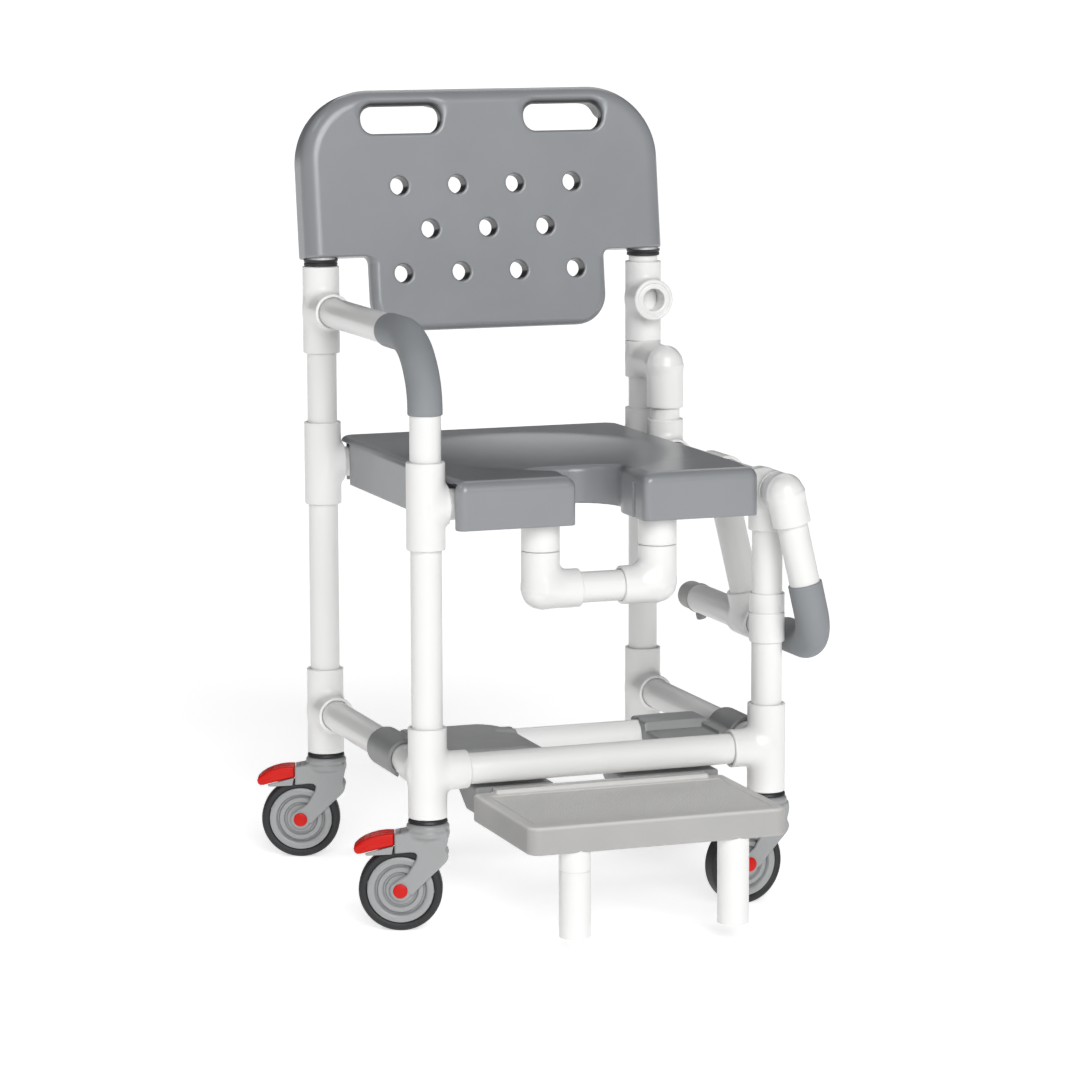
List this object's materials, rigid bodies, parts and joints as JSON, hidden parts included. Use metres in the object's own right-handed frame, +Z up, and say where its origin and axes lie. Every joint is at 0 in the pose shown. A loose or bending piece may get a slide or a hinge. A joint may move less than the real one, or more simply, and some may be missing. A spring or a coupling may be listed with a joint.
{
  "type": "wheeled shower chair",
  "caption": "Wheeled shower and commode chair in white plastic pipe with an open-front seat, perforated back, fixed arm, drop arm, sliding footrest and braked castors.",
  "frame": {"origin": "on the floor, under the middle of the chair's bounding box", "axes": "+Z up, the sitter faces -Y, the sitter's left hand is towards +X"},
  "size_m": [0.69, 0.7565, 1.1049],
  "materials": {
    "white_pipe": "smooth glossy white pipe and fittings",
    "grey_shell": "satin moulded plastic with a fine grain",
    "grip_foam": "closed-cell foam sleeve, matte",
    "light_grey": "moulded with a fine anti-slip texture",
    "bracket_grey": "satin moulded plastic",
    "castor_grey": "semi-gloss moulded nylon",
    "tyre_grey": "soft rubber tread",
    "pedal_red": "glossy"
  },
  "bodies": {
    "frame": {"arm_stop": "white_pipe", "arm_tee_rear_right": "white_pipe", "back_shell": "grey_shell", "base_corner_front_left": "white_pipe", "base_corner_front_right": "white_pipe", "base_corner_rear_left": "white_pipe", "base_corner_rear_right": "white_pipe", "base_pipe_front": "white_pipe", "base_pipe_left": "white_pipe", "base_pipe_right": "white_pipe", "fixed_arm_grip": "grip_foam", "fixed_arm_tube": "white_pipe", "latch_receiver": "white_pipe", "loop_lower_elbow_left": "white_pipe", "loop_lower_elbow_right": "white_pipe", "loop_pipe": "white_pipe", "loop_tee": "white_pipe", "pivot_bearing_front": "white_pipe", "pivot_bearing_rear": "white_pipe", "post_front_left": "white_pipe", "post_front_right": "white_pipe", "post_rear_left": "white_pipe", "post_rear_right": "white_pipe", "seat": "grey_shell", "seat_pipe_rear": "white_pipe", "seat_rail_front_left": "white_pipe", "seat_rail_front_right": "white_pipe", "seat_tee_front_right": "white_pipe", "seat_tee_rear_left": "white_pipe", "seat_tee_rear_right": "white_pipe", "side_loop": "white_pipe"},
    "drop_arm": {"pivot_tube": "white_pipe", "drop_arm_elbow": "white_pipe", "drop_arm_tube": "white_pipe", "drop_arm_grip": "grip_foam", "drop_arm_strut": "white_pipe", "drop_arm_end_cap": "light_grey"},
    "latch_bolt": {"latch_bolt": "castor_grey"},
    "footrest": {"footrest_platform": "light_grey", "footrest_foot_left": "white_pipe", "footrest_foot_right": "white_pipe", "footrest_bracket_left": "bracket_grey", "footrest_bracket_right": "bracket_grey", "footrest_cross_bar": "white_pipe"},
    "castor_front_right": {"castor_fork_front_right": "castor_grey"},
    "roller_front_right": {"wheel_front_right": "castor_grey", "tyre_front_right": "tyre_grey"},
    "brake_front_right": {"pedal_front_right": "pedal_red"},
    "castor_front_left": {"castor_fork_front_left": "castor_grey"},
    "roller_front_left": {"wheel_front_left": "castor_grey", "tyre_front_left": "tyre_grey"},
    "brake_front_left": {"pedal_front_left": "pedal_red"},
    "castor_rear_right": {"castor_fork_rear_right": "castor_grey"},
    "roller_rear_right": {"wheel_rear_right": "castor_grey", "tyre_rear_right": "tyre_grey"},
    "brake_rear_right": {"pedal_rear_right": "pedal_red"},
    "castor_rear_left": {"castor_fork_rear_left": "castor_grey"},
    "roller_rear_left": {"wheel_rear_left": "castor_grey", "tyre_rear_left": "tyre_grey"},
    "brake_rear_left": {"pedal_rear_left": "pedal_red"}
  },
  "joints": [
    {"name": "drop_arm_hinge", "type": "hinge", "parent": "frame", "child": "drop_arm", "pos_m": [0.246, 0.0847, 0.576], "axis": [0, -1, 0], "range_deg": [0, 166.7]},
    {"name": "latch_bolt_slide", "type": "slide", "parent": "drop_arm", "child": "latch_bolt", "axis": [0, 1, 0], "range_m": [0, 0.03]},
    {"name": "footrest_slide", "type": "slide", "parent": "frame", "child": "footrest", "axis": [0, 1, 0], "range_m": [0, 0.17]},
    {"name": "castor_swivel_front_right", "type": "hinge", "parent": "frame", "child": "castor_front_right", "pos_m": [-0.246, -0.1498, 0.15], "axis": [0, 0, 1], "continuous": true},
    {"name": "wheel_spin_front_right", "type": "hinge", "parent": "castor_front_right", "child": "roller_front_right", "pos_m": [-0.2808, -0.1372, 0.0565], "axis": [0.3404, 0.9403, 0], "continuous": true},
    {"name": "pedal_press_front_right", "type": "hinge", "parent": "castor_front_right", "child": "brake_front_right", "pos_m": [-0.2874, -0.1348, 0.12], "axis": [-0.3404, -0.9403, 0], "range_deg": [0, 10]},
    {"name": "castor_swivel_front_left", "type": "hinge", "parent": "frame", "child": "castor_front_left", "pos_m": [0.246, -0.1498, 0.15], "axis": [0, 0, 1], "continuous": true},
    {"name": "wheel_spin_front_left", "type": "hinge", "parent": "castor_front_left", "child": "roller_front_left", "pos_m": [0.2096, -0.1563, 0.0565], "axis": [-0.1754, 0.9845, 0], "continuous": true},
    {"name": "pedal_press_front_left", "type": "hinge", "parent": "castor_front_left", "child": "brake_front_left", "pos_m": [0.2027, -0.1575, 0.12], "axis": [0.1754, -0.9845, 0], "range_deg": [0, 10]},
    {"name": "castor_swivel_rear_right", "type": "hinge", "parent": "frame", "child": "castor_rear_right", "pos_m": [-0.246, 0.3192, 0.15], "axis": [0, 0, 1], "continuous": true},
    {"name": "wheel_spin_rear_right", "type": "hinge", "parent": "castor_rear_right", "child": "roller_rear_right", "pos_m": [-0.2808, 0.3318, 0.0565], "axis": [0.3404, 0.9403, 0], "continuous": true},
    {"name": "pedal_press_rear_right", "type": "hinge", "parent": "castor_rear_right", "child": "brake_rear_right", "pos_m": [-0.2874, 0.3342, 0.12], "axis": [-0.3404, -0.9403, 0], "range_deg": [0, 10]},
    {"name": "castor_swivel_rear_left", "type": "hinge", "parent": "frame", "child": "castor_rear_left", "pos_m": [0.246, 0.3192, 0.15], "axis": [0, 0, 1], "continuous": true},
    {"name": "wheel_spin_rear_left", "type": "hinge", "parent": "castor_rear_left", "child": "roller_rear_left", "pos_m": [0.2808, 0.3066, 0.0565], "axis": [-0.3404, -0.9403, 0], "continuous": true},
    {"name": "pedal_press_rear_left", "type": "hinge", "parent": "castor_rear_left", "child": "brake_rear_left", "pos_m": [0.2874, 0.3042, 0.12], "axis": [0.3404, 0.9403, 0], "range_deg": [0, 10]}
  ]
}
